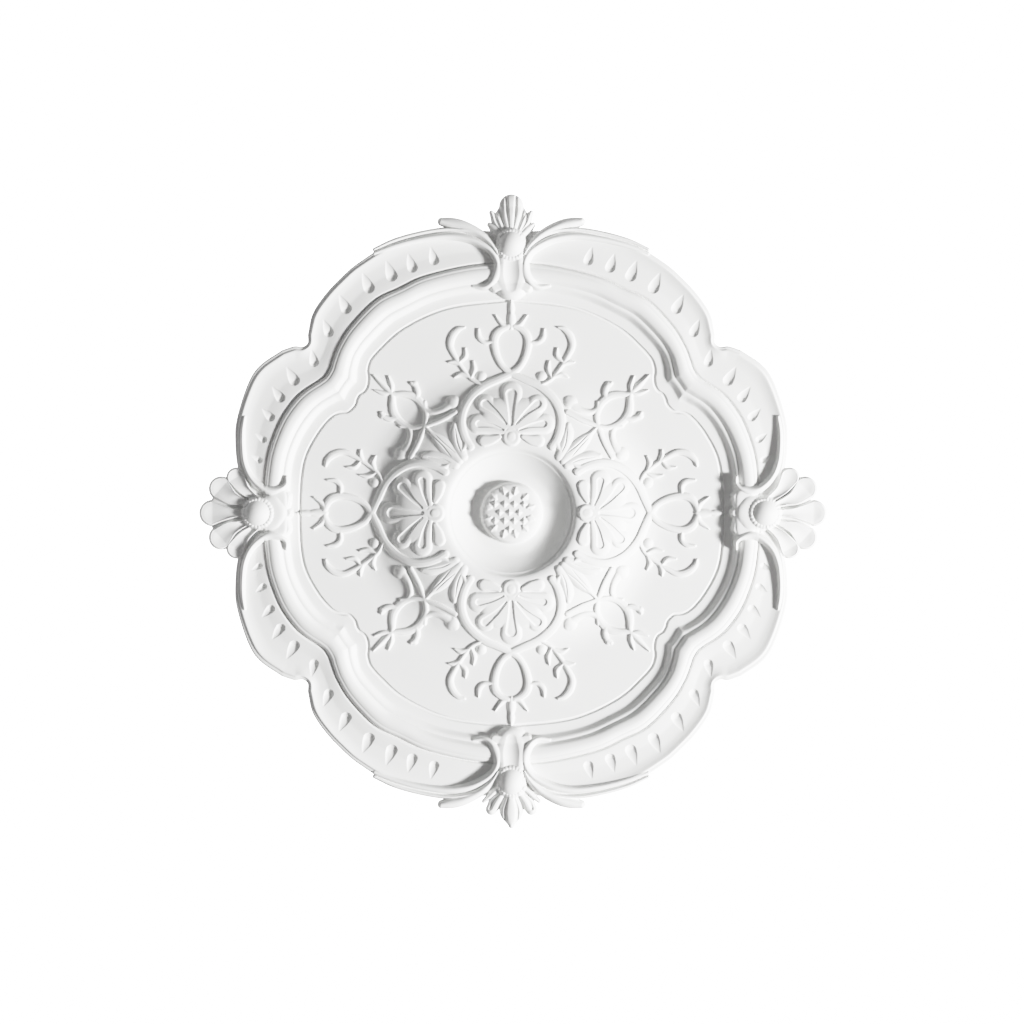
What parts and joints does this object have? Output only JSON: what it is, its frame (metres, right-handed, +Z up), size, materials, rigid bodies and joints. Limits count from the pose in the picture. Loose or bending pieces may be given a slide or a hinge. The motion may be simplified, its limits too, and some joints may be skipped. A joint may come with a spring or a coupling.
{
  "type": "ceiling rose",
  "caption": "Large lobed ceiling rose cast in one piece, with a domed centre and knob, relief scrollwork, a moulded frame, fluted shells and leaf finials; its flat back is fixed to a ceiling.",
  "frame": {"origin": "centre of the flat back, in the plane of the ceiling", "axes": "+Z up, out of the back into the ceiling, so the relief hangs face down below the origin; -Y towards the fan finial, +Y towards the leaf finial, +X and -X towards the fluted shells"},
  "size_m": [0.9454, 0.955, 0.0521],
  "materials": {
    "casting": "matt white primer"
  },
  "bodies": {
    "root": {"ceiling_rose": "casting"}
  },
  "joints": []
}
